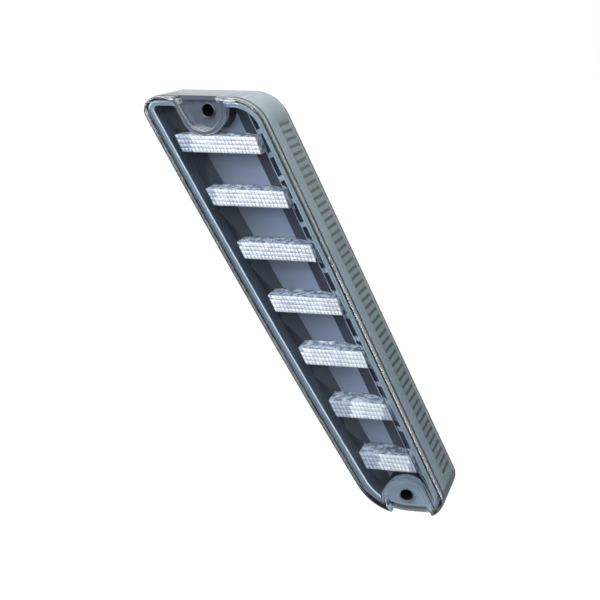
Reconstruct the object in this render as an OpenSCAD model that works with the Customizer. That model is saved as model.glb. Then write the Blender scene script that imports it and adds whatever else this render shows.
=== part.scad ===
// Third brake light: a slanted, tapering, sealed LED stop lamp.
// Frame: +X to the right along the light bars, +Z up, and the lens looks along -Y.
// The plane y = 0 is the mounting face, and the origin lies on it, midway between the screw holes.

/* [Outline] */
// Height of the top edge above the origin
top_z = 94; // [90:0.5:98]
// Height of the bottom edge below the origin
bottom_z = -94.5; // [-98:0.5:-90]
// Left side at the top edge
left_top_x = -79.4; // [-84:0.1:-76]
// Left side at the bottom edge
left_bottom_x = 32.7; // [29:0.1:36]
// Right side at the top edge
right_top_x = -22.4; // [-26:0.1:-18]
// Right side at the bottom edge
right_bottom_x = 69.8; // [66:0.1:74]
// How far the left side swells out at its middle
left_bow = 1.5; // [0.5:0.25:2]
// Radius of the top left corner
top_left_r = 6.3; // [5:0.1:9]
// Radius of the top right corner
top_right_r = 18.8; // [12:0.1:22]
// Radius of the bottom right corner
bottom_right_r = 8; // [6:0.1:12]
// Radius of the sweep at the bottom left
bottom_left_r = 27; // [20:0.5:30]

/* [Depth] */
// Depth of the lamp from the mounting face to the front of the lens
depth = 42; // [38:0.5:46]
// Wall of the clear lens
lens_wall = 2; // [1.8:0.1:2.2]
// Thickness of the foam gasket
gasket_t = 1.5; // [1:0.1:3]
// Lip of the housing that shows behind the lens
lip_t = 0.8; // [0.6:0.1:1.5]

/* [Screw holes] */
// Distance between the two screw holes
hole_spacing = 198; // [190:1:199]
// Lean of the line through the holes, from upright
hole_lean = 28.15; // [26:0.05:30]
// Bore of the steel bushings, for an M5 screw
bushing_bore_d = 5.5; // [5.2:0.1:6]
// Outside of the steel bushings
bushing_d = 7; // [6.7:0.1:7.2]
// Hole in the floor of each lens pocket
pocket_hole_d = 6.2; // [5.8:0.1:7]
// Radius of the screw pockets
pocket_r = 8; // [7:0.1:9]
// Depth of the screw pockets
pocket_depth = 7; // [5:0.5:9]

/* [Light bars] */
// Height of the middle of the top bar
bar_first_z = 72.6; // [71:0.1:74]
// Distance between bars
bar_pitch = 23.9; // [23:0.1:24.5]
// Height of each bar
bar_h = 7.6; // [6:0.1:9]
// Top left corner of the first bar
bar_left_first_x = -61.4; // [-62:0.1:-60]
// Top left corner of the last bar
bar_left_last_x = 24.9; // [24:0.1:26]
// Top right corner of the first bar
bar_right_first_x = -23.4; // [-24:0.1:-22]
// Top right corner of the last bar
bar_right_last_x = 49.6; // [49:0.1:50.5]
// How far the right ends of the middle bars stand out
bar_right_bow = 1.2; // [0:0.1:2]
// Slant of the left ends, sideways per unit of height
bar_left_slant = 0.5; // [0.3:0.05:0.6]
// Slant of the right ends, sideways per unit of height
bar_right_slant = 0.35; // [0.2:0.05:0.6]
// Gap between the back of the lens face and the bars
bar_gap = 2.4; // [1.5:0.1:3]

/* [Mask] */
// Distance from the lens face back to the floor of the mask
mask_depth = 19; // [18:0.5:20]
// Wall of the mask
mask_t = 1.8; // [1.5:0.1:2.5]
// Width of the sloping right side of the mask
ramp_w = 13; // [8:0.5:15]

/* [Ribbed band] */
// Distance between ribs along the side walls
rib_pitch = 3.7; // [3:0.1:5]
// Height of each rib
rib_h = 0.7; // [0.5:0.1:0.8]

/* [Electronics] */
// Thickness of the circuit board
board_t = 1.6; // [1.2:0.1:2]
// Height of a light source
led_h = 1.4; // [1:0.1:2]
// Light sources behind each bar
leds_per_bar = 3; // [2:1:3]

/* [Hidden] */
$fn = 48;
bar_count = 7;

// Planes across the depth, from the front to the mounting face
face_y = -depth;
bar_front_y = face_y + lens_wall + bar_gap;
mask_rim_y = face_y + lens_wall + 1;
mask_front_y = face_y + mask_depth;
mask_back_y = mask_front_y + mask_t;
flange_t = 1.5;
flange_back_y = mask_back_y + flange_t;
retainer_t = 1.5;
retainer_back_y = flange_back_y + retainer_t;
board_front_y = flange_back_y + retainer_t + 1.6;
board_back_y = board_front_y + board_t;
led_front_y = board_front_y - led_h;
bar_back_y = led_front_y - 0.4;
tray_back_y = -gasket_t;
skirt_y = tray_back_y - lip_t;
tray_front_y = tray_back_y - 2.5;
pocket_floor_y = face_y + pocket_depth;
pocket_back_y = pocket_floor_y + 2.5;

// Corners of the face, clockwise from the top left, ending at the middle of the bowed left side
mid_z = (top_z + bottom_z) / 2;
side_lean = atan((left_bottom_x - left_top_x) / (top_z - bottom_z));
right_lean = atan((right_bottom_x - right_top_x) / (top_z - bottom_z));
side_half = (top_z - bottom_z) / 2 / cos(side_lean);
bow_reach = 88;
bow_vertex = left_bow / (1 - bow_reach / 2 / side_half);
bow_r = bow_reach * side_half / bow_vertex;
corners = [[left_top_x, top_z], [right_top_x, top_z], [right_bottom_x, bottom_z],
    [left_bottom_x, bottom_z],
    [(left_top_x + left_bottom_x) / 2 - bow_vertex / cos(side_lean), mid_z]];
corner_r = [top_left_r, top_right_r, bottom_right_r, bottom_left_r, bow_r];
corner_steps = [8, 12, 8, 14, 12];

// Screw holes
hole = hole_spacing / 2 * [-sin(hole_lean), cos(hole_lean)];

// Inner screws, each a gap between bars and how far across it
board_screw_at = [gap_point(0, 0.22), gap_point(2, 0.78), gap_point(3, 0.22), gap_point(5, 0.78)];
housing_screw_at = [gap_point(0, 0.8), gap_point(1, 0.2), gap_point(4, 0.8), gap_point(5, 0.2)];
board_screw_d = 2.4;
housing_screw_d = 2.9;
head_depth = 4;

// Wire header, inlet and breather, as places on the board and the tray
inlet_at = [-11.3, 16];
header_at = inlet_at + [0, 16];
header_w = 12.4;
vent_at = [19, -45];
inlet_w = 20;
inlet_h = 14;
inlet_wall = 1.6;
inlet_flange = 4;
inlet_end_y = 14;
inlet_flange_y = tray_front_y - 0.7;
blade_gap = 4.4;
blade_w = 2.4;
blade_t = 0.8;
wire_d = 1.6;
wire_bend_r = 3;
wire_y = board_back_y + 3;

// Clearances
board_inset = lens_wall + 8;
fit = 0.3;
eps = 0.01;

// ---- Outline ----

function edge_dir(p, i) = let (a = p[i], b = p[(i + 1) % len(p)]) (b - a) / norm(b - a);
function edge_in(p, i) = let (d = edge_dir(p, i)) [d[1], -d[0]];
// A corner moved inward, so that both of its edges move by the same distance
function inner_corner(p, i, distance) =
    let (a = edge_in(p, (i + len(p) - 1) % len(p)), b = edge_in(p, i))
    p[i] + distance * (a + b) / (1 + a * b);
// The points of one rounded corner
function corner_arc(p, i, r, inset) =
    let (a = edge_in(p, (i + len(p) - 1) % len(p)), b = edge_in(p, i),
         c = inner_corner(p, i, r), start = atan2(-a[1], -a[0]),
         turn = -acos(min(1, a * b)), n = corner_steps[i])
    [for (k = [0 : n]) c + (r - inset) * [cos(start + turn * k / n), sin(start + turn * k / n)]];
function outline(inset = 0) = [for (i = [0 : len(corners) - 1])
    each corner_arc(corners, i, max(corner_r[i], inset + 0.8), inset)];

module face(inset = 0) { polygon(outline(inset)); }

// A flat shape in X and Z, given its thickness from y_front back to y_back
module layer(y_front, y_back) {
    translate([0, y_back, 0]) rotate([90, 0, 0]) linear_extrude(y_back - y_front) children();
}

// A round bar or bore along Y
module round_y(at, d, y_front, y_back, sides = 48) {
    translate([at[0], y_back, at[1]]) rotate([90, 0, 0])
        cylinder(d = d, h = y_back - y_front, $fn = sides);
}

// Both screw positions
module at_holes() {
    for (side = [1, -1]) translate([side * hole[0], side * hole[1]]) children();
}

// The screw pockets: round about each hole, and open along the lean of the side
module pockets(grow = 0) {
    r = pocket_r + grow;
    for (side = [1, -1]) translate([side * hole[0], side * hole[1]]) {
        circle(r);
        rotate(side_lean + (side > 0 ? 0 : 180)) translate([-r, 0]) square([2 * r, 30]);
    }
}

// ---- Light bars ----

function bar_z(i) = bar_first_z - bar_pitch * i;
function bar_left(i) = bar_left_first_x + (bar_left_last_x - bar_left_first_x) * i / (bar_count - 1);
function bar_right(i) = let (t = i / (bar_count - 1))
    bar_right_first_x + (bar_right_last_x - bar_right_first_x) * t + 4 * bar_right_bow * t * (1 - t);
function bar_corners(i, g = 0) = let (z = bar_z(i), h = bar_h / 2)
    [[bar_left(i) - g, z + h + g], [bar_right(i) + g, z + h + g],
     [bar_right(i) + bar_right_slant * bar_h + g, z - h - g],
     [bar_left(i) + bar_left_slant * bar_h - g, z - h - g]];
function bar_across(i, t) = let (c = bar_corners(i))
    [(c[0] + c[3])[0] / 2 * (1 - t) + (c[1] + c[2])[0] / 2 * t, bar_z(i)];
// A place in the gap below bar i, at t of the way from left to right
function gap_point(i, t) = (bar_across(i, t) + bar_across(i + 1, t)) / 2;

module bar_shape(i, grow = 0) { polygon(bar_corners(i, grow)); }

module light_bar(i) {
    color([0.93, 0.93, 0.97, 0.85]) {
        layer(bar_front_y, bar_back_y) bar_shape(i);
        layer(mask_back_y, flange_back_y) bar_shape(i, 1.5);
    }
}

// ---- Lens ----

module outer_lens() {
    color([0.82, 0.87, 0.9, 0.35]) difference() {
        union() {
            difference() {
                layer(face_y, skirt_y) face();
                layer(face_y + lens_wall, skirt_y + 1) face(lens_wall);
            }
            intersection() {
                layer(face_y, pocket_back_y) face();
                layer(face_y, pocket_back_y) pockets(lens_wall);
            }
        }
        layer(face_y - 1, pocket_floor_y) pockets();
        for (side = [1, -1]) round_y(side * hole, pocket_hole_d, face_y, pocket_back_y + 1);
    }
}

module lens_seal() {
    color([0.16, 0.16, 0.17]) layer(tray_front_y, skirt_y) difference() {
        face(lens_wall);
        face(lens_wall + 0.6);
    }
}

// ---- Mask ----

rim_inset = lens_wall + 0.7;

// The wedge that slopes from the mask's floor up to its right rim
module right_ramp() {
    crease = [-0.55 * ramp_w, mask_front_y - 0.3 * (mask_front_y - mask_rim_y)];
    foot = crease + 1.1 * ([-ramp_w, mask_front_y] - crease);
    intersection() {
        layer(mask_rim_y, foot[1]) face(rim_inset + 0.6);
        translate([right_bottom_x, 0, bottom_z]) rotate([0, -right_lean, 0])
            translate([-rim_inset / cos(right_lean), 0, 0]) linear_extrude(460, center = true)
                polygon([[0, mask_rim_y + 0.2], [2, mask_rim_y + 0.2], [2, foot[1]], foot, crease]);
    }
}

module inner_bezel() {
    color([0.33, 0.36, 0.43]) difference() {
        union() {
            difference() {
                layer(mask_rim_y, mask_back_y) face(rim_inset);
                layer(mask_rim_y - 1, mask_front_y) face(rim_inset + mask_t);
            }
            right_ramp();
            for (at = board_screw_at) round_y(at, 6, mask_back_y - 0.5, board_front_y);
            for (at = housing_screw_at) round_y(at, 7, mask_back_y - 0.5, board_front_y);
        }
        for (i = [0 : bar_count - 1]) layer(mask_rim_y - 1, mask_back_y + eps) bar_shape(i, fit);
        layer(mask_rim_y - 1, board_front_y + 1) pockets(lens_wall + 0.6);
        for (at = board_screw_at) round_y(at, board_screw_d, mask_back_y + 0.3, board_front_y + 1);
        for (at = housing_screw_at) round_y(at, housing_screw_d, mask_back_y + 0.3, board_front_y + 1);
    }
}

// ---- Ribbed bands inside the cover's walls ----

// A groove between two ribs, cut in from the outside
module groove() {
    translate([-rib_pitch * 0.2, -rib_h]) square([rib_pitch * 0.4, rib_h + 1]);
}

// Grooves along one straight side, from corner a to corner b, leaving the rounded ends plain
module side_grooves(a, b, inset, skip_a, skip_b) {
    d = (b - a) / norm(b - a);
    n = floor((norm(b - a) - skip_a - skip_b) / rib_pitch);
    for (k = [0 : n])
        translate(a + d * (skip_a + k * rib_pitch) + [d[1], -d[0]] * inset)
            rotate(atan2(d[1], d[0])) groove();
}

// Grooves along the bowed left side
module bow_grooves(inset) {
    step = rib_pitch / bow_r * 180 / PI;
    n = floor(bow_reach / rib_pitch) - 1;
    translate(inner_corner(corners, 4, bow_r)) for (k = [-n : n])
        rotate(90 + side_lean + k * step) translate([0, bow_r - inset]) groove();
}

// Two strips, left and right, that meet the screw bosses at the top and the bottom
module side_reflector() {
    inset = lens_wall + fit;
    color([0.5, 0.53, 0.51]) layer(mask_back_y, tray_front_y) difference() {
        face(inset);
        face(inset + rib_h + 1.4);
        side_grooves(corners[0], corners[1], inset, 14, 15);
        side_grooves(corners[1], corners[2], inset, 15, 15);
        side_grooves(corners[2], corners[3], inset, 16, 19);
        bow_grooves(inset);
        at_holes() circle(d = bushing_d + 3.2);
    }
}

// ---- Inside ----

module bar_retainer() {
    color([0.92, 0.92, 0.9]) difference() {
        union() {
            layer(flange_back_y, retainer_back_y) difference() {
                face(board_inset);
                pockets(5);
            }
            for (i = [0 : bar_count - 1]) layer(retainer_back_y - eps, board_front_y)
                difference() {
                    bar_shape(i, 1.6);
                    bar_shape(i, 0.6);
                }
        }
        for (i = [0 : bar_count - 1]) layer(flange_back_y - 1, board_front_y + 1) bar_shape(i, fit);
        for (at = board_screw_at) round_y(at, 6.4, flange_back_y - 1, board_front_y + 1);
        for (at = housing_screw_at) round_y(at, 7.4, flange_back_y - 1, board_front_y + 1);
    }
}

module led_board() {
    color([0.12, 0.35, 0.2]) difference() {
        layer(board_front_y, board_back_y) difference() {
            face(board_inset);
            pockets(5);
        }
        for (at = board_screw_at) round_y(at, 2.8, board_front_y - 1, board_back_y + 1);
        for (at = housing_screw_at) round_y(at, 3.3, board_front_y - 1, board_back_y + 1);
    }
}

// A box on the board's back or front, given its middle, its size and how far it stands out
module chip(at, w, h, y_front, y_back) {
    translate([at[0] - w / 2, y_front, at[1] - h / 2]) cube([w, y_back - y_front, h]);
}

module leds() {
    color([0.95, 0.85, 0.8]) for (i = [0 : bar_count - 1]) for (k = [1 : leds_per_bar]) {
        at = bar_across(i, (k - 0.5) / leds_per_bar);
        difference() {
            chip(at, 3.5, 2.8, led_front_y, board_front_y);
            round_y(at, 2.4, led_front_y - 1, led_front_y + 0.3);
        }
    }
}

module resistors() {
    color([0.1, 0.1, 0.1]) for (i = [0 : bar_count - 1])
        chip(bar_across(i, 0.5), 3.2, 1.6, board_back_y, board_back_y + 0.6);
}

module driver_chips() {
    color([0.08, 0.08, 0.09]) for (i = [2, 4]) {
        at = bar_across(i, 0.2);
        chip(at, 5, 4, board_back_y + 0.2, board_back_y + 1.7);
        for (side = [-1, 1]) for (k = [-1.5 : 1 : 1.5])
            chip(at + [k * 1.27, side * 2.5], 0.4, 1.2, board_back_y, board_back_y + 0.9);
    }
}

module capacitors() {
    color([0.75, 0.75, 0.78]) for (i = [1, 5]) {
        at = bar_across(i, 0.85);
        chip(at, 5, 5, board_back_y, board_back_y + 0.8);
        round_y(at, 4.6, board_back_y + 0.8, board_back_y + 5.8);
    }
}

module protection_diode() {
    color([0.1, 0.1, 0.1]) {
        at = bar_across(1, 0.5) + [0, 3.5];
        chip(at, 4.4, 2.6, board_back_y + 0.1, board_back_y + 2.1);
        for (side = [-1, 1]) chip(at + [side * 2.3, 0], 1, 1.5, board_back_y, board_back_y + 0.6);
    }
}

module board_header() {
    color([0.93, 0.92, 0.86]) difference() {
        chip(header_at, header_w, 6, board_back_y, board_back_y + 5.5);
        for (k = [-1 : 1]) translate([header_at[0] + k * blade_gap, wire_y, header_at[1] - 4])
            cylinder(d = wire_d, h = 5);
    }
}

module lead_wires() {
    color([0.55, 0.1, 0.1]) for (k = [-1 : 1]) {
        x = inlet_at[0] + k * blade_gap;
        bottom = inlet_at[1] + wire_bend_r;
        translate([x, wire_y, bottom]) cylinder(d = wire_d, h = header_at[1] + 1 - bottom);
        translate([x, wire_y + wire_bend_r, bottom]) rotate([90, 180, 90])
            rotate_extrude(angle = 90) translate([wire_bend_r, 0]) circle(d = wire_d);
    }
}

// Rounded head and straight shank, pointing to the front
module inner_screw(at, shank_d, head_d, head_y, tip_y) {
    round_y(at, head_d, head_y, head_y + 1.8, 32);
    round_y(at, shank_d, tip_y, head_y + eps, 32);
}

module board_screws() {
    color([0.7, 0.7, 0.72]) for (at = board_screw_at)
        inner_screw(at, board_screw_d, 4.6, board_back_y, mask_back_y + 0.4);
}

module housing_screws() {
    color([0.7, 0.7, 0.72]) for (at = housing_screw_at)
        inner_screw(at, housing_screw_d, 5.6, tray_back_y - head_depth, mask_back_y + 0.4);
}

// ---- Housing ----

module inlet_hole(grow) {
    translate(inlet_at) square([inlet_w + grow, inlet_h + grow], center = true);
}

module rear_housing() {
    inset = lens_wall + 0.6;
    color([0.17, 0.18, 0.2]) difference() {
        union() {
            layer(tray_front_y, tray_back_y) face(inset);
            layer(skirt_y, tray_back_y) face(0.4);
            for (at = housing_screw_at) round_y(at, 9.4, board_back_y, tray_front_y + eps);
            intersection() {
                layer(pocket_back_y, tray_front_y + eps) face(lens_wall + fit);
                for (side = [1, -1])
                    round_y(side * hole, bushing_d + 2.6, pocket_back_y, tray_front_y + eps);
            }
        }
        layer(tray_front_y - 1, 1) inlet_hole(0.6);
        for (side = [1, -1]) round_y(side * hole, bushing_d, pocket_back_y - 1, 1);
        for (at = housing_screw_at) {
            round_y(at, 3.3, board_back_y - 1, 1);
            round_y(at, 6.4, tray_back_y - head_depth, 1);
        }
        round_y(vent_at, 5, tray_front_y - 1, 1);
    }
}

// Steel sleeve from the back of the pocket floor to the mounting face
module bushing(at) {
    color([0.72, 0.73, 0.75]) difference() {
        round_y(at, bushing_d, pocket_back_y, 0);
        round_y(at, bushing_bore_d, pocket_back_y - 1, 1);
    }
}

module rear_gasket() {
    color([0.12, 0.12, 0.12]) layer(tray_back_y, 0) difference() {
        face(1);
        difference() {
            face(6);
            at_holes() circle(8);
        }
        at_holes() circle(d = bushing_d);
    }
}

module connector_socket() {
    color([0.13, 0.13, 0.14]) difference() {
        union() {
            layer(inlet_flange_y - 1.5, inlet_flange_y) inlet_hole(inlet_flange);
            layer(inlet_flange_y - eps, inlet_end_y) inlet_hole(0);
            layer(6, 10) translate(inlet_at + [0, inlet_h / 2 + 0.4]) square([5, 1.6], center = true);
        }
        layer(tray_back_y + 0.5, inlet_end_y + 1) inlet_hole(-2 * inlet_wall);
        for (k = [-1 : 1]) layer(inlet_flange_y - 2, 0)
            translate(inlet_at + [k * blade_gap, 0]) square([blade_w, blade_t], center = true);
    }
}

module connector_seal() {
    color([0.75, 0.35, 0.2]) layer(inlet_flange_y, tray_front_y) difference() {
        inlet_hole(inlet_flange - 0.8);
        inlet_hole(0.6);
    }
}

module terminal_pins() {
    back = board_back_y + 3 + wire_bend_r;
    color([0.8, 0.78, 0.7]) for (k = [-1 : 1]) layer(back, inlet_end_y - 4)
        translate(inlet_at + [k * blade_gap, 0]) square([blade_w, blade_t], center = true);
}

module vent_cap() {
    color([0.2, 0.2, 0.21]) difference() {
        union() {
            round_y(vent_at, 11, tray_back_y, tray_back_y + 1.2);
            round_y(vent_at, 5, tray_front_y, tray_back_y + eps);
        }
        round_y(vent_at, 1.6, tray_front_y - 1, 1);
    }
}

module vent_membrane() {
    color([0.95, 0.95, 0.93]) round_y(vent_at, 9, tray_front_y - 0.3, tray_front_y);
}

outer_lens();
lens_seal();
inner_bezel();
light_bar(0);  // light_bar_1
light_bar(1);  // light_bar_2
light_bar(2);  // light_bar_3
light_bar(3);  // light_bar_4
light_bar(4);  // light_bar_5
light_bar(5);  // light_bar_6
light_bar(6);  // light_bar_7
side_reflector();
bar_retainer();
led_board();
leds();
resistors();
driver_chips();
capacitors();
protection_diode();
board_header();
lead_wires();
board_screws();
housing_screws();
rear_housing();
bushing(hole);  // upper_bushing
bushing(-hole);  // lower_bushing
rear_gasket();
connector_socket();
connector_seal();
terminal_pins();
vent_cap();
vent_membrane();
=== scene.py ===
"""Builds the finished look of a slanted third brake light round its CAD frame.

Metres throughout: +X to the right along the light bars, +Z up, and the lens looks along -Y.
"""

from math import radians

import bmesh
import bpy
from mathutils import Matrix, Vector


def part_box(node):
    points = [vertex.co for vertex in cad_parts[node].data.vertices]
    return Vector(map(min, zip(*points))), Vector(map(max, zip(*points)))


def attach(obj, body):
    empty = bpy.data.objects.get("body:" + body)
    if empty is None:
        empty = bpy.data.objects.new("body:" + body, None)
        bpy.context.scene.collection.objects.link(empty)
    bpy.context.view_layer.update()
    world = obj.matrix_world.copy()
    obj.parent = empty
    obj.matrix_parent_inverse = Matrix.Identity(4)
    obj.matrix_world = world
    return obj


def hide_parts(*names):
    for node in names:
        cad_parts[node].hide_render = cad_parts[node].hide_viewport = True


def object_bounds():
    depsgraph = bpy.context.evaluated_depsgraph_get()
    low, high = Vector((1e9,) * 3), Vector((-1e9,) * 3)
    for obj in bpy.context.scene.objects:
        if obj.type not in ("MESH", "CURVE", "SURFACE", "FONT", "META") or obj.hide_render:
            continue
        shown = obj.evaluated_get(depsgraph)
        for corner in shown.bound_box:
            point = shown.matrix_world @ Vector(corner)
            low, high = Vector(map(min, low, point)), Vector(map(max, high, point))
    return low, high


bl_info = {
    "name": "Third Brake Light",
    "version": (1, 0, 0),
    "blender": (4, 5, 0),
    "location": "3D View > Sidebar > Lamp",
    "description": "Builds the pieces of a slanted third brake light and its studio",
    "category": "Object",
}

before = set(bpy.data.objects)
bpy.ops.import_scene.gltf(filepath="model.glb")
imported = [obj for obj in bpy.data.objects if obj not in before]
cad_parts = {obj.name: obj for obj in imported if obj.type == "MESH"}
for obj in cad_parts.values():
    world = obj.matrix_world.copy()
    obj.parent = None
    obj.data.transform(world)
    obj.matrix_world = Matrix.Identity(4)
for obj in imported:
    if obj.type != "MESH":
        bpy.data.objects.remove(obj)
CAD_BOX = [list(corner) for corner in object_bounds()]
MM = 0.001
MERGE = 0.002 * MM
ON_PLANE = 0.01 * MM
COVER_WALL = 2 * MM
BARS = [f"light_bar_{number}" for number in range(1, 8)]

# Finishes of the cover's faces, and of the mask's
CLEAR, PAINTED, WELD, WALL, HAZY, FROSTED, POCKET_PAINTED_LIGHT = range(7)
PAINTED_LIGHT_FACET, PAINTED_SHADE_FACET, RIM, INNER_WALL, LOWER_SLOPE, SLOT_PAINTED_SHADE, RIM_EDGE_PAINTED_HIGHLIGHT, OUTSIDE, SLOT_FRAME_PAINTED_HIGHLIGHT = range(9)


# ---- Settings ----


def linear(hex_colour):
    """Linear RGBA of an sRGB hex colour."""
    parts = [int(hex_colour[i : i + 2], 16) / 255 for i in (1, 3, 5)]
    return [c / 12.92 if c <= 0.04045 else ((c + 0.055) / 1.055) ** 2.4 for c in parts] + [1.0]


def length(name, description, millimetres):
    """A length that the user can change, with its default in millimetres."""
    return bpy.props.FloatProperty(
        name=name, description=description, default=millimetres * MM, min=0, unit="LENGTH", precision=5
    )


def colour(name, description, hex_colour):
    """A colour that the user can change, with its default as an sRGB hex colour."""
    return bpy.props.FloatVectorProperty(
        name=name, description=description, default=linear(hex_colour), min=0, max=1, size=4, subtype="COLOR"
    )


class LampSizes(bpy.types.PropertyGroup):
    """Sizes of the details that the finished look adds to the CAD shapes"""

    cover_edge: length("Cover edge radius", "Rounding of the clear cover's front edges", 0.9)
    cover_step: length("Cover step", "Height of the step in the cover's side wall", 0.3)
    cover_step_depth: length("Step depth", "Distance from the face back to the step", 5.0)
    cover_inner_edge: length("Cover inner edge", "Rounding inside the cover's front", 0.8)
    fold_top: length("Fold at the top", "From the first bar's left end to the mask's fold", 12.0)
    fold_bottom: length("Fold at the bottom", "From the last bar's left end to the mask's fold", 2.9)
    left_facet: length("Left facet", "Width of the mask's sloping left facet", 12.6)
    left_facet_rise: length("Left facet rise", "How far the left facet climbs towards the face", 7.0)
    rim_edge: length("Rim edge", "Bevel along the inner edge of the mask's rim", 0.45)
    slot_pitch: length("Slot pitch", "Distance between the slots beside the rim", 11.5)
    slot_border: length("Slot border", "Width of the frame round each slot", 1.2)
    slot_depth: length("Slot depth", "Depth of each slot", 1.0)
    pillow_pitch: length("Pillow pitch", "Distance between the pillows on a bar's front", 1.75)
    pillow_rise: length("Pillow rise", "Height of each pillow", 0.35)


class LampColours(bpy.types.PropertyGroup):
    """Main colours of the lamp"""

    cover: colour("Cover", "Clear acrylic of the cover", "#F2F7FA")
    # The mask's two tones are one lacquer: painted light on facets that face the light, painted shade on
    # those that face away.
    mask_painted_light: colour("Mask, bright", "Facets of the mask that face the light", "#848BA0")
    mask_painted_shade: colour("Mask, dark", "Facets of the mask that face away", "#2E353F")
    bar: colour("Light bar", "Pillowed front of a light bar", "#F3EFF6")
    band: colour("Ribbed band", "Ribs inside the side walls", "#7D8886")
    # The colour in the grooves between the ribs is a painted shade.
    groove_painted_shade: colour("Grooves", "Grooves between the ribs", "#141918")
    housing: colour("Housing", "Moulded back of the lamp", "#5A626E")


def sizes():
    return bpy.context.scene.lamp_sizes


def colours():
    return bpy.context.scene.lamp_colours


# ---- Mesh helpers ----


def node_copy(name):
    """A copy of a CAD node as a bmesh, with its triangles joined into whole faces."""
    bm = bmesh.new()
    bm.from_mesh(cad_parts[name].data)
    bmesh.ops.remove_doubles(bm, verts=bm.verts, dist=MERGE)
    bmesh.ops.dissolve_limit(
        bm, angle_limit=radians(0.08), use_dissolve_boundaries=False, verts=bm.verts, edges=bm.edges,
        delimit=set(),
    )
    bm.normal_update()
    return bm


def on_plane(element, y):
    """Whether an edge or a face lies at depth y."""
    return all(abs(v.co.y - y) < ON_PLANE for v in element.verts)


def flat_depths(bm, way):
    """Depths of the flats that look backwards, for a way of 1, or forwards, for -1."""
    return [f.calc_center_median().y for f in bm.faces if way * f.normal.y > 0.99]


def largest(faces):
    """The face with the largest area."""
    return max(faces, key=lambda f: f.calc_area())


def sharp_edges(bm, angle=30):
    """Edges where two faces meet at more than an angle in degrees."""
    return [e for e in bm.edges if len(e.link_faces) == 2 and e.calc_face_angle(0) > radians(angle)]


def round_edges(bm, edges, width, segments=2):
    """Rounds the given edges to a width."""
    return bmesh.ops.bevel(
        bm, geom=edges, offset=width, offset_type="OFFSET", affect="EDGES", segments=segments, profile=0.5,
        material=-1, clamp_overlap=False, loop_slide=True,
    )


def cut(bm, faces, place, normal):
    """Cuts the given faces, and no others, along a plane."""
    edges = dict.fromkeys(e for f in faces for e in f.edges)
    verts = dict.fromkeys(v for f in faces for v in f.verts)
    bmesh.ops.bisect_plane(bm, geom=[*verts, *edges, *faces], dist=MERGE, plane_co=place, plane_no=normal)


def make_piece(bm, name, materials, replaces=(), smooth=35, even=True):
    """Turns a bmesh into a piece that rides with the lamp."""
    mesh = bpy.data.meshes.new(name)
    bm.to_mesh(mesh)
    bm.free()
    piece = bpy.data.objects.new(name, mesh)
    bpy.context.scene.collection.objects.link(piece)
    for material in materials:
        mesh.materials.append(material)
    mesh.shade_smooth()
    mesh.set_sharp_from_angle(angle=radians(smooth))
    if even:
        piece.modifiers.new("Even shading", "WEIGHTED_NORMAL").keep_sharp = True
    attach(piece, "root")
    if replaces:
        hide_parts(*replaces)
    return piece


def softened_node(node, name, materials, width, segments=2):
    """A CAD node's shape with its sharp edges rounded."""
    bm = node_copy(node)
    round_edges(bm, sharp_edges(bm), width, segments)
    return make_piece(bm, name, materials, [node])


# ---- Material helpers ----


def add(tree, kind, settings=None, links=None, **values):
    """Adds a node. Settings are its own properties, values and links are its sockets by name or number."""
    made = tree.nodes.new(kind)
    for key, value in (settings or {}).items():
        setattr(made, key, value)
    for key, value in {**values, **(links or {})}.items():
        socket = made.inputs[key if isinstance(key, int) else key.replace("_", " ")]
        if isinstance(value, bpy.types.NodeSocket):
            tree.links.new(value, socket)
        else:
            socket.default_value = value
    return made


def new_material(name):
    """An empty material with its output node."""
    material = bpy.data.materials.new(name)
    material.use_nodes = True
    tree = material.node_tree
    tree.nodes.clear()
    return material, tree, add(tree, "ShaderNodeOutputMaterial")


def object_coords(tree, scale=(1, 1, 1), turn=(0, 0, 0)):
    """Object coordinates, scaled and turned."""
    place = add(tree, "ShaderNodeTexCoord").outputs["Object"]
    return add(tree, "ShaderNodeMapping", Vector=place, Scale=scale, Rotation=turn).outputs[0]


def noise(tree, size, detail=3, roughness=0.5, stretch=(1, 1, 1)):
    """Noise whose blobs are about the given size in metres."""
    place = object_coords(tree, [s / size for s in stretch])
    return add(
        tree, "ShaderNodeTexNoise", Vector=place, Scale=1.0, Detail=detail, Roughness=roughness
    ).outputs[0]


def blend_colours(tree, factor, first, second):
    """A mix of two colours by a factor."""
    return add(
        tree, "ShaderNodeMix", {"data_type": "RGBA"}, {0: factor, 6: first, 7: second}
    ).outputs[2]


def mapped(tree, value, low, high, new_low, new_high):
    """A value moved from one range to another and clamped."""
    return add(
        tree, "ShaderNodeMapRange", None, {0: value, 1: low, 2: high, 3: new_low, 4: new_high}
    ).outputs[0]


def bump(tree, height, distance):
    """A bump normal from a height between 0 and 1, as deep as distance in metres."""
    return add(tree, "ShaderNodeBump", Height=height, Distance=distance, Strength=1.0).outputs[0]


def surface(tree, out, sockets):
    """A Principled surface with the given sockets, joined to the material's output."""
    shader = add(tree, "ShaderNodeBsdfPrincipled", None, sockets)
    tree.links.new(shader.outputs[0], out.inputs[0])


def tone(base, factor):
    """A colour made lighter or darker."""
    return [min(1.0, c * factor) for c in base[:3]] + [1.0]


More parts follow.
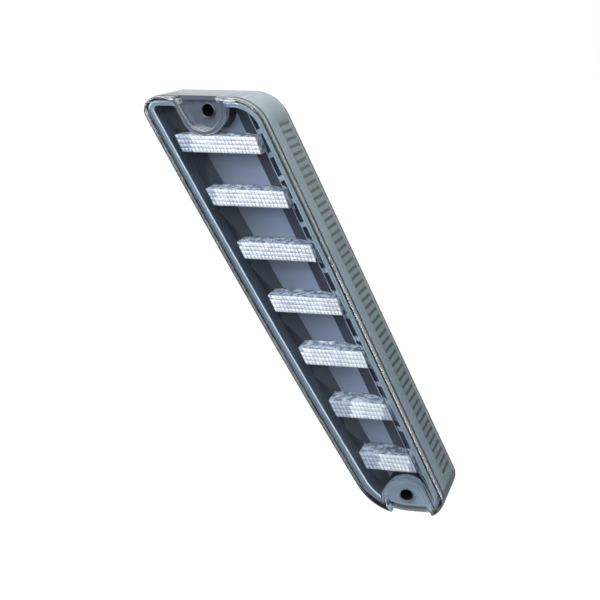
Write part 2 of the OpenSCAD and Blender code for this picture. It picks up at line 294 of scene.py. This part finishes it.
def moulded_plastic(
    name, base, roughness, grain=0.6 * MM, depth=0.02 * MM, spread=0.18, metallic=0.0, coat=0.0, painted_shade_direction=None
):
    """Moulded plastic: an even colour that varies a little, with a fine grain.

    Grain and depth are the size and height of the grain, and spread is how far the colour varies.
    An optional direction gives a painted shade: along it the colour goes from darkened to full.
    """
    material, tree, out = new_material(name)
    blotch = noise(tree, 14 * MM)
    fine = noise(tree, grain, 4)
    base_colour = blend_colours(tree, blotch, tone(base, 1 - spread), tone(base, 1 + spread))
    # A painted shade: the colour darkens towards the low end of the given direction.
    if painted_shade_direction:
        place = add(
            tree, "ShaderNodeVectorMath", {"operation": "DOT_PRODUCT"}, {0: object_coords(tree), 1: painted_shade_direction}
        ).outputs["Value"]
        painted_dim = blend_colours(tree, blotch, tone(base, 0.46), tone(base, 0.5))
        base_colour = blend_colours(tree, mapped(tree, place, -16 * MM, 5 * MM, 0, 1), painted_dim, base_colour)
    surface(tree, out, {
        "Base Color": base_colour, "Metallic": metallic, "Coat Weight": coat, "Coat Roughness": 0.05,
        "Roughness": mapped(tree, fine, 0.3, 0.7, roughness * 0.8, min(1.0, roughness * 1.2)),
        "Normal": bump(tree, fine, depth),
    })
    return material


def clear_acrylic(name, clearness):
    """Clear moulded acrylic: colourless, glossy, with faint flow ripples. Lamps shine through it."""
    material, tree, out = new_material(name)
    ripple = bump(tree, noise(tree, 6 * MM, 2), 0.015 * MM)
    glass = add(
        tree, "ShaderNodeBsdfPrincipled", None,
        {
            "Base Color": colours().cover, "Roughness": 0.02, "IOR": 1.49, "Transmission Weight": clearness,
            "Normal": ripple,
        },
    )
    shadow = add(tree, "ShaderNodeBsdfTransparent", None, {"Color": tone(colours().cover, 0.92)})
    rays = add(tree, "ShaderNodeLightPath").outputs["Is Shadow Ray"]
    mix = add(tree, "ShaderNodeMixShader", None, {0: rays, 1: glass.outputs[0], 2: shadow.outputs[0]})
    tree.links.new(mix.outputs[0], out.inputs[0])
    return material


def metallised_mask(name, base, painted_shade_direction=None):
    """Vacuum-metallised polycarbonate under a grey lacquer: a soft metal sheen over an even colour."""
    return moulded_plastic(name, base, 0.38, 0.5 * MM, 0.006 * MM, 0.1, metallic=0.25, painted_shade_direction=painted_shade_direction)


def pillowed_acrylic(name, painted_light_level):
    """Acrylic pillows: silvery white, a little uneven, with a painted shade where the shade attribute says;
    a lower factor gives the painted shade of the valleys.
    """
    material, tree, out = new_material(name)
    uneven = noise(tree, 5 * MM, 5, 0.7)
    shade = add(tree, "ShaderNodeAttribute", {"attribute_name": "shade"}).outputs["Fac"]
    bar = colours().bar
    brightness = mapped(tree, uneven, 0.3, 0.7, 0, 1)
    lit = blend_colours(tree, brightness, tone(bar, 0.72 * painted_light_level), tone(bar, 1.2 * painted_light_level))
    base = blend_colours(tree, shade, lit, tone(linear("#9AA2B4"), painted_light_level))
    surface(tree, out, {
        "Base Color": base, "Metallic": 0.2, "Roughness": 0.2, "Coat Weight": 0.5, "Coat Roughness": 0.05,
        "Normal": bump(tree, uneven, 0.05 * MM),
    })
    return material


def bar_sides():
    """Polished acrylic flanks of a bar: glossy grey, with painted glints, pale streaks of light, along their
    depth.
    """
    material, tree, out = new_material("acrylic_flank_painted_glints")
    streak = noise(tree, 2.2 * MM, 4, 0.6, (1, 0.5, 1))
    # Pale streaks of the flanks: painted glints.
    painted_glint = mapped(tree, streak, 0.42, 0.62, 0, 1)
    surface(tree, out, {
        "Base Color": blend_colours(tree, painted_glint, linear("#687182"), linear("#C6CBD6")),
        "Roughness": 0.15, "IOR": 1.49, "Coat Weight": 0.5, "Coat Roughness": 0.03,
        "Normal": bump(tree, streak, 0.25 * MM),
    })
    return material


def turned_metal(name):
    """Turned or plated metal: bright grey with fine rings and a slight unevenness."""
    material, tree, out = new_material(name)
    rings = noise(tree, 0.25 * MM, 2, 0.5, (0.2, 1, 0.2))
    surface(tree, out, {
        "Base Color": blend_colours(tree, noise(tree, 3 * MM), linear("#A9ABAF"), linear("#CFD1D4")),
        "Metallic": 1.0, "Roughness": mapped(tree, rings, 0.3, 0.7, 0.22, 0.4),
        "Normal": bump(tree, rings, 0.01 * MM),
    })
    return material


def foam_rubber():
    """Closed-cell foam rubber: black and dull, with small round cells."""
    material, tree, out = new_material("closed_cell_foam")
    cell_size = 0.5 * MM
    place = object_coords(tree, [1 / cell_size] * 3)
    cells = add(tree, "ShaderNodeTexVoronoi", Vector=place, Scale=1.0).outputs[0]
    surface(tree, out, {
        "Base Color": blend_colours(tree, cells, linear("#17181A"), linear("#2B2C2F")),
        "Roughness": 0.9, "Normal": bump(tree, cells, 0.12 * MM),
    })
    return material


def solder_resist():
    """Fibreglass board under green solder resist: copper tracks show as paler lines."""
    material, tree, out = new_material("solder_resist")
    tracks = add(
        tree, "ShaderNodeTexBrick", {"offset": 0.5},
        {
            "Vector": object_coords(tree, [1 / (9 * MM)] * 3, (radians(90), 0, 0)), "Scale": 1.0,
            "Mortar Size": 0.05, "Brick Width": 1.0, "Row Height": 0.4,
            "Color1": linear("#15402A"), "Color2": linear("#184830"), "Mortar": linear("#2C6A47"),
        },
    ).outputs[0]
    uneven = bump(tree, noise(tree, 0.4 * MM), 0.01 * MM)
    surface(tree, out, {"Base Color": tracks, "Roughness": 0.35, "Normal": uneven})
    return material


def woven_membrane():
    """Stretched breather membrane: white, dull, with a fine crossed weave."""
    material, tree, out = new_material("breather_membrane")
    thread_pitch = 0.4 * MM
    weave = [
        add(
            tree, "ShaderNodeTexWave", {"bands_direction": direction},
            {"Vector": object_coords(tree), "Scale": 0.5 / thread_pitch / 6.28},
        ).outputs[1]
        for direction in ("X", "Z")
    ]
    height = add(tree, "ShaderNodeMath", {"operation": "MULTIPLY"}, {0: weave[0], 1: weave[1]}).outputs[0]
    surface(tree, out, {
        "Base Color": blend_colours(tree, height, linear("#D9D9D2"), linear("#F2F2EC")),
        "Roughness": 0.85, "Normal": bump(tree, height, 0.03 * MM),
    })
    return material


# ---- Pieces ----


class LAMP_OT_cover(bpy.types.Operator):
    """Clear cover with rounded front edges, a step in its side wall and the two screw pockets"""

    bl_idname = "lamp.cover"
    bl_label = "Clear cover"

    def execute(self, context):
        s = sizes()
        bm = node_copy("outer_lens")
        low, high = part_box("outer_lens")
        ledge_y = low.y + s.cover_step_depth
        for y in (ledge_y, ledge_y - s.cover_step):
            cut(bm, bm.faces[:], (0, y, 0), (0, 1, 0))
        self.shrink_front(bm, ledge_y - s.cover_step, s.cover_step)
        round_edges(bm, [e for e in sharp_edges(bm, 60) if on_plane(e, low.y)], s.cover_edge, 3)
        inner = [e for e in sharp_edges(bm, 60) if on_plane(e, low.y + COVER_WALL)]
        round_edges(bm, inner, s.cover_inner_edge)
        bmesh.ops.recalc_face_normals(bm, faces=bm.faces)
        back_y = self.lift_pocket_back(bm, ledge_y)
        floor_y = min(y for y in flat_depths(bm, -1) if y > ledge_y + ON_PLANE)
        ends = self.wall_ends(bm, floor_y, high.z - COVER_WALL)
        for face in bm.faces:
            face.material_index = self.finish_of(face, low, high, floor_y, back_y)
        for face in ends:
            face.material_index = PAINTED
        make_piece(bm, "clear_cover", self.finishes(), ["outer_lens"], smooth=25)
        return {"FINISHED"}

    def finishes(self):
        """Acrylic in four grades, from the clear face to the frosted base, painted or bonded spots, and a
        paler copy of the paint as painted light.
        """
        return [
            clear_acrylic("clear_acrylic", 1.0),
            moulded_plastic("painted_pocket_back", linear("#434C5A"), 0.5, spread=0.08),
            moulded_plastic("frosted_weld_edge", linear("#D5DADC"), 0.6, spread=0.05),
            clear_acrylic("clear_acrylic_walls", 0.985),
            clear_acrylic("hazy_acrylic_edges", 0.9),
            clear_acrylic("frosted_acrylic_base", 0.5),
            # A paler copy of the pocket paint: painted light in the lower pocket and the necks.
            moulded_plastic("pocket_back_painted_light", linear("#8996A3"), 0.5, spread=0.08),
        ]

    def finish_of(self, face, low, high, floor_y, back_y):
        """The finish of a face, from where it is and where it looks."""
        steepness = abs(face.normal.y)
        middle = face.calc_center_median()
        # The necks' walls take the paler paint, a painted light over the shade in the gap round the sleeves.
        if steepness < 0.5 and all(floor_y - ON_PLANE < v.co.y < back_y + ON_PLANE for v in face.verts):
            return POCKET_PAINTED_LIGHT
        if face.normal.z < -0.95 and middle.z < low.z + MM:
            return FROSTED
        if steepness < 0.9:
            return WALL if steepness < 0.1 else HAZY
        # The upper pocket's back takes the paint; the lower one takes the paler paint as painted light.
        if on_plane(face, back_y):
            return PAINTED if middle.z > 0 else POCKET_PAINTED_LIGHT
        return WELD if on_plane(face, high.y) else CLEAR

    def lift_pocket_back(self, bm, ledge_y):
        """Lifts the painted back of the pockets' floor just clear of the housing, and returns its depth."""
        depth = min(y for y in flat_depths(bm, 1) if y > ledge_y)
        gap = 0.1 * MM
        for vert in (v for v in bm.verts if abs(v.co.y - depth) < ON_PLANE):
            vert.co.y -= gap
        return depth - gap

    def wall_ends(self, bm, y, top_z):
        """Parts the end of the top wall from the pocket's floor, which lies in the same plane."""
        cut(bm, [f for f in bm.faces if on_plane(f, y)], (0, 0, top_z), (0, 0, 1))
        return [f for f in bm.faces if on_plane(f, y) and f.calc_center_median().z > top_z]

    def shrink_front(self, bm, y, distance):
        """Moves the outside of the wall in front of y inwards, which leaves a small ledge."""
        start = max((f for f in bm.faces if abs(f.normal.y) < 0.1), key=lambda f: f.calc_center_median().x)
        outside, waiting = {start}, [start]
        while waiting:
            for edge in waiting.pop().edges:
                for other in edge.link_faces:
                    if other not in outside and edge.calc_face_angle(0) < radians(30):
                        outside.add(other)
                        waiting.append(other)
        moves = {}
        for vert in {v for f in outside for v in f.verts if v.co.y < y + ON_PLANE}:
            normals = [f.normal for f in vert.link_faces if f in outside]
            mean = sum(normals, Vector()).normalized()
            moves[vert] = -mean * distance / max(0.5, mean.dot(normals[0]))
        for vert, move in moves.items():
            vert.co += move


class LAMP_OT_mask(bpy.types.Operator):
    """Mask: a left facet in painted shade, a right facet in painted light, a sloping right side with slots,
    and the rim
    """

    bl_idname = "lamp.mask"
    bl_label = "Mask"

    def execute(self, context):
        bm = node_copy("inner_bezel")
        rim_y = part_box("inner_bezel")[0].y
        floor_y = self.floor_depth(bm, rim_y)
        edge = largest(f for f in bm.faces if len(f.verts) == 4).normal.copy()
        slots = self.cut_slots(bm, edge)
        self.fold_floor(bm, floor_y)
        back_y = max(v.co.y for v in bm.verts if v.co.y < floor_y + 3 * MM)
        inner_rim = [
            e for e in bm.edges
            if on_plane(e, rim_y)
            and any(f.normal.y > -0.5 and self.is_inside(f, back_y) for f in e.link_faces)
        ]
        rim_edge = round_edges(bm, inner_rim, sizes().rim_edge, 1)["faces"]
        for face in bm.faces:
            face.material_index = self.finish_of(face, rim_y, back_y, edge)
        # Slot floors take a painted shade.
        for face in slots:
            face.material_index = SLOT_PAINTED_SHADE
        # The rim's bevelled inner edge takes a painted highlight.
        for face in rim_edge:
            face.material_index = RIM_EDGE_PAINTED_HIGHLIGHT
        make_piece(bm, "mask", self.finishes(edge), ["inner_bezel"], smooth=12, even=False)
        return {"FINISHED"}

    def finishes(self, edge):
        """Lacquered metallised plastic, with the light and shade that the facets, walls and rim take painted
        into its tones.
        """
        return [
            # The facets: painted light that darkens along the edge as painted shade, and painted shade.
            metallised_mask("facet_lacquer_painted_light", colours().mask_painted_light, edge),
            metallised_mask("shaded_facet", colours().mask_painted_shade),
            metallised_mask("lacquered_rim", linear("#74808F")),
            # Inner walls: a painted shade of the lacquer.
            metallised_mask("wall_lacquer_painted_shade", linear("#48505C")),
            # Lower slope: a painted shade of the lacquer.
            metallised_mask("slope_lacquer_painted_shade", linear("#3B3D4A")),
            # Slots: a painted shade in their floors.
            moulded_plastic("slot_floor_painted_shade", linear("#1B1E26"), 0.6),
            # Rim edge: a painted highlight.
            metallised_mask("rim_edge_painted_highlight", linear("#B9C2CE")),
            moulded_plastic("outer_wall_lacquer", linear("#8C959A"), 0.5, spread=0.05),
            # Slot frames and the upper slope: a painted highlight.
            metallised_mask("slot_frame_painted_highlight", linear("#BAC2CE")),
        ]

    def finish_of(self, face, rim_y, back_y, edge):
        """The finish of a face, from where it is and where it looks, which sets its painted light or shade.
        """
        depth = face.calc_center_median().y
        # Flats that face the front take the rim's tone or the facet's painted light.
        if face.normal.y < -0.98:
            return RIM if depth < rim_y + 0.5 * MM else PAINTED_LIGHT_FACET
        if face.normal.y < -0.3:
            # The tilted left facet takes a painted shade.
            if face.normal.dot(edge) > -0.3:
                return PAINTED_SHADE_FACET
            # The upper share of the sloping side takes a painted highlight, the rest a painted shade.
            highlight_share = 0.69
            return SLOT_FRAME_PAINTED_HIGHLIGHT if depth < rim_y + highlight_share * (back_y - rim_y) else LOWER_SLOPE
        # Inner walls take a painted shade of the lacquer; outer walls keep their own colour.
        return INNER_WALL if self.is_inside(face, back_y) else OUTSIDE

    def is_inside(self, face, back_y):
        """Whether a wall ends at the floor, as the inner ones do, and not behind it."""
        return max(v.co.y for v in face.verts) <= back_y - MM

    def floor_depth(self, bm, rim_y):
        """Depth of the largest flat that faces the front behind the rim."""
        flats = (f for f in bm.faces if f.normal.y < -0.99 and f.calc_center_median().y > rim_y + MM)
        return largest(flats).calc_center_median().y

    def fold_floor(self, bm, floor_y):
        """Folds the floor along a line beside the bars, and lifts its left part."""
        s = sizes()
        first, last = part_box(BARS[0]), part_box(BARS[-1])
        top = Vector((first[0].x + s.fold_top, floor_y, first[0].z - 0.4 * MM))
        bottom = Vector((last[0].x + s.fold_bottom, floor_y, last[1].z + MM))
        line = (bottom - top).normalized()
        normal = Vector((line.z, 0, -line.x))
        cut(bm, [f for f in bm.faces if on_plane(f, floor_y)], top, normal)
        bmesh.ops.triangulate(bm, faces=[f for f in bm.faces if on_plane(f, floor_y)])
        for vert in {v for f in bm.faces if on_plane(f, floor_y) for v in f.verts}:
            left = (vert.co - top).dot(normal)
            if left > 0:
                vert.co.y -= s.left_facet_rise * left / s.left_facet
        bm.normal_update()

    def cut_slots(self, bm, edge):
        """Sinks a row of slots into the top of the sloping side."""
        s = sizes()
        along = Vector((edge.z, 0, -edge.x))
        slope = largest(f for f in bm.faces if f.normal.y < -0.3 and f.normal.dot(edge) < -0.3)
        flat = slope.normal.copy()
        first_slot = min(v.co.dot(along) for v in slope.verts) + 2 * MM
        end = max(v.co.dot(along) for v in slope.verts)
        for step in range(int((end - first_slot) / s.slot_pitch) + 1):
            faces = [f for f in bm.faces if f.normal.dot(flat) > 0.999]
            cut(bm, faces, along * (first_slot + s.slot_pitch * step), along)
        least_area = 5 * MM * s.slot_pitch
        cells = [f for f in bm.faces if f.normal.dot(flat) > 0.999 and f.calc_area() > least_area]
        for thickness, depth in ((s.slot_border, 0), (0.1 * MM, -s.slot_depth)):
            bmesh.ops.inset_individual(
                bm, faces=cells, thickness=thickness, depth=depth, use_even_offset=True
            )
        bm.normal_update()
        return cells


class LAMP_OT_light_bars(bpy.types.Operator):
    """Seven light bars with pillowed fronts and polished flanks"""

    bl_idname = "lamp.light_bars"
    bl_label = "Light bars"

    def execute(self, context):
        finishes = [
            pillowed_acrylic("pillowed_acrylic", 1.0),
            bar_sides(),
            # The valleys between pillows take a darker copy of the pillow material, a painted shade.
            pillowed_acrylic("pillow_valleys_painted_shade", 0.6),
        ]
        # Share of each bar that takes a painted shade at its left and at its right end, from the top bar
        # down
        painted_dim_ends = [(0.2, 0), (0.12, 0), (0.05, 0), (0.05, 0), (0.05, 0), (0.35, 0.15), (0.35, 0.15)]
        for node, ends in zip(BARS, painted_dim_ends):
            self.build(node, finishes, ends)
        return {"FINISHED"}

    def build(self, node, finishes, ends):
        """One bar: its front is a grid of pillows, each a flat top on a sloping edge."""
        s = sizes()
        pillow_rows = 4
        painted_dimming = 0.8
        bm = node_copy(node)
        front_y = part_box(node)[0].y
        for face in bm.faces:
            face.material_index = 1
        front = next(f for f in bm.faces if on_plane(f, front_y))
        front.material_index = 0
        long_edges = sorted(front.edges, key=lambda e: -e.calc_length())[:2]
        columns = round(long_edges[0].calc_length() / s.pillow_pitch)
        bmesh.ops.subdivide_edges(bm, edges=long_edges, cuts=columns - 1, use_grid_fill=True)
        uprights = [
            e for e in bm.edges
            if on_plane(e, front_y) and abs(e.verts[0].co.z - e.verts[1].co.z) > 4 * MM
        ]
        bmesh.ops.subdivide_edges(bm, edges=uprights, cuts=pillow_rows - 1, use_grid_fill=True)
        shade = bm.faces.layers.float.new("shade")
        pillows = [f for f in bm.faces if on_plane(f, front_y)]
        left = min(v.co.x for f in pillows for v in f.verts)
        right = max(v.co.x for f in pillows for v in f.verts)
        # Pillows within a bar's darker ends take a painted shade.
        for face in pillows:
            across = (face.calc_center_median().x - left) / (right - left)
            face[shade] = painted_dimming if across < ends[0] or across > 1 - ends[1] else 0.0
        for face in pillows:
            for vert in face.verts:
                vert.co.y = front_y + s.pillow_rise
        valleys = bmesh.ops.inset_individual(
            bm, faces=pillows, thickness=0.17 * s.pillow_pitch, depth=0.6 * s.pillow_rise
        )["faces"]
        # Valley faces take the painted shade.
        for face in valleys:
            face.material_index = 2
        bmesh.ops.inset_individual(
            bm, faces=pillows, thickness=0.15 * s.pillow_pitch, depth=0.4 * s.pillow_rise
        )
        bm.normal_update()
        make_piece(bm, node + "_pillowed", finishes, [node], smooth=60, even=False)


class LAMP_OT_ribbed_band(bpy.types.Operator):
    """Ribbed bands inside the cover's side walls, with painted shade in the grooves"""

    bl_idname = "lamp.ribbed_band"
    bl_label = "Ribbed bands"

    def execute(self, context):
        bm = node_copy("side_reflector")
        # Faces in the grooves take a painted shade.
        for face in bm.faces:
            hollow = any(e.calc_face_angle_signed(0) < radians(-60) for e in face.edges)
            face.material_index = 1 if hollow and abs(face.normal.y) < 0.1 else 0
        finishes = [
            moulded_plastic("milky_ribbed_plastic", colours().band, 0.45, spread=0.06),
            moulded_plastic("groove_shadow", colours().groove_painted_shade, 0.6, spread=0.1),
        ]
        make_piece(bm, "ribbed_band", finishes, ["side_reflector"], smooth=30, even=False)
        return {"FINISHED"}


class LAMP_OT_inside(bpy.types.Operator):
    """Retainer, circuit board and the parts on it"""

    bl_idname = "lamp.inside"
    bl_label = "Inside parts"

    def execute(self, context):
        white = moulded_plastic("white_retainer_plastic", linear("#E6E6E0"), 0.5)
        black = moulded_plastic("chip_epoxy", linear("#141517"), 0.55)
        softened_node("bar_retainer", "bar_retainer_soft", [white], 0.15 * MM)
        softened_node("led_board", "circuit_board", [solder_resist()], 0.1 * MM, 1)
        epoxy = moulded_plastic("led_epoxy", linear("#EDDCC8"), 0.2, coat=0.5)
        softened_node("leds", "light_sources", [epoxy], 0.12 * MM)
        softened_node("resistors", "chip_resistors", [black], 0.06 * MM)
        softened_node("driver_chips", "driver_circuits", [black], 0.06 * MM)
        softened_node("protection_diode", "protection_diode_soft", [black], 0.06 * MM)
        cans = turned_metal("aluminium_can")
        softened_node("capacitors", "capacitor_cans", [cans], 0.2 * MM)
        cream = moulded_plastic("header_nylon", linear("#E3DCC6"), 0.5)
        softened_node("board_header", "wire_header", [cream], 0.2 * MM)
        red = moulded_plastic("wire_insulation", linear("#8E1A16"), 0.4)
        softened_node("lead_wires", "short_wires", [red], 0.05 * MM, 1)
        steel = turned_metal("zinc_plated_screw")
        softened_node("board_screws", "board_screws_soft", [steel], 0.25 * MM)
        softened_node("housing_screws", "housing_screws_soft", [steel], 0.25 * MM)
        return {"FINISHED"}


class LAMP_OT_back(bpy.types.Operator):
    """Housing, bushings, seals, connector inlet and breather"""

    bl_idname = "lamp.back"
    bl_label = "Back of the lamp"

    def execute(self, context):
        grey_abs = moulded_plastic("grained_grey_abs", colours().housing, 0.55, 0.35 * MM, 0.05 * MM)
        softened_node("rear_housing", "housing_back", [grey_abs], 0.2 * MM)
        steel = [
            # The bore's black is a painted shade; the ends' grey is steel lightened as painted light.
            moulded_plastic("bore_painted_shade", linear("#0B0A0B"), 0.85),
            moulded_plastic("phosphated_steel_painted_light", linear("#868E98"), 0.6, metallic=0.4),
        ]
        self.sleeve("upper_bushing", "upper_sleeve", steel)
        self.sleeve("lower_bushing", "lower_sleeve", steel)
        softened_node("rear_gasket", "foam_gasket", [foam_rubber()], 0.3 * MM)
        seal = moulded_plastic("sealing_bead", linear("#A8AFB3"), 0.6)
        softened_node("lens_seal", "sealing_ring", [seal], 0.08 * MM, 1)
        nylon = moulded_plastic("inlet_nylon", linear("#1B1C1E"), 0.4)
        softened_node("connector_socket", "inlet_socket", [nylon], 0.3 * MM, 3)
        orange = moulded_plastic("silicone_seal", linear("#B0592E"), 0.5)
        softened_node("connector_seal", "inlet_seal_ring", [orange], 0.1 * MM)
        tin = turned_metal("tin_plated_brass")
        softened_node("terminal_pins", "inlet_blades", [tin], 0.12 * MM)
        cap = moulded_plastic("breather_cap", linear("#2E2F31"), 0.5)
        softened_node("vent_cap", "breather_cap_soft", [cap], 0.3 * MM)
        woven = woven_membrane()
        softened_node("vent_membrane", "breather_membrane_disc", [woven], 0.05 * MM, 1)
        return {"FINISHED"}

    def sleeve(self, node, name, finishes):
        """A screw sleeve: grey outside and at its ends, lightened there as painted light, and black in its
        bore as painted shade.
        """
        bm = node_copy(node)
        round_edges(bm, sharp_edges(bm), 0.3 * MM)
        low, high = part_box(node)
        for face in bm.faces:
            out = face.calc_center_median() - (low + high) / 2
            looks_inwards = face.normal.x * out.x + face.normal.z * out.z < -0.3 * MM
            face.material_index = 0 if looks_inwards else 1
        make_piece(bm, name, finishes, [node])


# ---- Stage ----


class LAMP_OT_stage(bpy.types.Operator):
    """White floor, soft studio light and the camera"""

    bl_idname = "lamp.stage"
    bl_label = "Stage"

    def execute(self, context):
        self.floor()
        self.sky()
        self.light("key_softbox", (-0.35, -1.1, 0.55), (0.7, 0.7), 11)
        self.light("top_strip", (-0.28, -0.07, 0.95), (1.2, 0.12), 4.5)
        self.light("right_strip", (0.87, -0.25, 0.35), (0.12, 1.0), 4)
        self.light("back_fill", (-0.9, 0.75, 0.5), (0.6, 0.6), 1.2)
        self.camera()
        bpy.context.scene.view_settings.view_transform = "Standard"
        return {"FINISHED"}

    def floor(self):
        """White paper under the lamp: it looks white to the camera, and throws back only a little light."""
        drop = 0.25
        bm = bmesh.new()
        bmesh.ops.create_grid(bm, x_segments=1, y_segments=1, size=6)
        bmesh.ops.translate(bm, verts=bm.verts, vec=(0, 0, CAD_BOX[0][2] - drop))
        mesh = bpy.data.meshes.new("floor")
        bm.to_mesh(mesh)
        bm.free()
        floor = bpy.data.objects.new("floor", mesh)
        bpy.context.scene.collection.objects.link(floor)
        material, tree, out = new_material("white_paper")
        speckle = blend_colours(tree, noise(tree, 40 * MM), linear("#5A5D60"), linear("#65686B"))
        paper = add(tree, "ShaderNodeBsdfDiffuse", Color=speckle)
        glow = add(tree, "ShaderNodeEmission", Strength=1.1)
        rays = add(tree, "ShaderNodeLightPath").outputs["Is Camera Ray"]
        mix = add(tree, "ShaderNodeMixShader", None, {0: rays, 1: paper.outputs[0], 2: glow.outputs[0]})
        tree.links.new(mix.outputs[0], out.inputs[0])
        mesh.materials.append(material)

    def sky(self):
        """White where the camera looks, and for the lamp a room that is brighter at the front and above."""
        world = bpy.data.worlds.new("studio")
        bpy.context.scene.world = world
        world.use_nodes = True
        tree = world.node_tree
        tree.nodes.clear()
        direction = add(tree, "ShaderNodeTexCoord").outputs["Generated"]
        parts = add(tree, "ShaderNodeSeparateXYZ", Vector=direction)
        frontal = mapped(tree, parts.outputs[1], -0.6, 0.4, 1, 0)
        tilt = add(
            tree, "ShaderNodeVectorMath", {"operation": "DOT_PRODUCT"}, {0: direction, 1: (-1, 0, 0.9)}
        ).outputs["Value"]
        side = mapped(tree, tilt, -0.4, 0.36, 0, 0.9)
        behind = blend_colours(tree, side, linear("#3A4041"), linear("#D9E0E4"))
        grey = blend_colours(tree, frontal, behind, linear("#EEF0F4"))
        room = add(tree, "ShaderNodeBackground", Color=grey, Strength=1.0)
        white = add(tree, "ShaderNodeBackground", Color=(1, 1, 1, 1), Strength=1.0)
        rays = add(tree, "ShaderNodeLightPath").outputs["Is Camera Ray"]
        mix = add(tree, "ShaderNodeMixShader", None, {0: rays, 1: room.outputs[0], 2: white.outputs[0]})
        out = add(tree, "ShaderNodeOutputWorld")
        tree.links.new(mix.outputs[0], out.inputs[0])

    def light(self, name, place, size, power):
        """A rectangular light that points at the lamp, with its size in metres and its power in watts."""
        data = bpy.data.lights.new(name, "AREA")
        data.shape = "RECTANGLE"
        data.size, data.size_y = size
        data.energy = power
        lamp = bpy.data.objects.new(name, data)
        lamp.location = place
        lamp.rotation_euler = (-Vector(place)).to_track_quat("-Z", "Y").to_matrix().to_euler()
        bpy.context.scene.collection.objects.link(lamp)

    def camera(self):
        """A long lens to the right of the lamp and a little above it."""
        data = bpy.data.cameras.new("camera")
        data.lens = 85
        data.sensor_width = 36
        camera = bpy.data.objects.new("camera", data)
        camera.location = (0.1502, -0.6446, 0.14625)
        camera.rotation_euler = (radians(77.12), 0, radians(14.17))
        bpy.context.scene.collection.objects.link(camera)
        bpy.context.scene.camera = camera


class LAMP_PT_panel(bpy.types.Panel):
    """Lists the lamp's settings and pieces"""

    bl_idname = "LAMP_PT_panel"
    bl_label = "Third Brake Light"
    bl_space_type = "VIEW_3D"
    bl_region_type = "UI"
    bl_category = "Lamp"

    def draw(self, context):
        for group in (context.scene.lamp_sizes, context.scene.lamp_colours):
            column = self.layout.column()
            for name in group.__annotations__:
                column.prop(group, name)
        for operator in PIECES:
            self.layout.operator(operator.bl_idname)


PIECES = [
    LAMP_OT_cover, LAMP_OT_mask, LAMP_OT_light_bars, LAMP_OT_ribbed_band, LAMP_OT_inside, LAMP_OT_back,
    LAMP_OT_stage,
]
CLASSES = [LampSizes, LampColours, *PIECES, LAMP_PT_panel]


def register():
    for cls in CLASSES:
        bpy.utils.register_class(cls)
    bpy.types.Scene.lamp_sizes = bpy.props.PointerProperty(type=LampSizes)
    bpy.types.Scene.lamp_colours = bpy.props.PointerProperty(type=LampColours)


def unregister():
    del bpy.types.Scene.lamp_sizes
    del bpy.types.Scene.lamp_colours
    for cls in reversed(CLASSES):
        bpy.utils.unregister_class(cls)


def main():
    register()
    for operator in PIECES:
        group, name = operator.bl_idname.split(".")
        getattr(getattr(bpy.ops, group), name)()


if __name__ == "__main__":
    main()
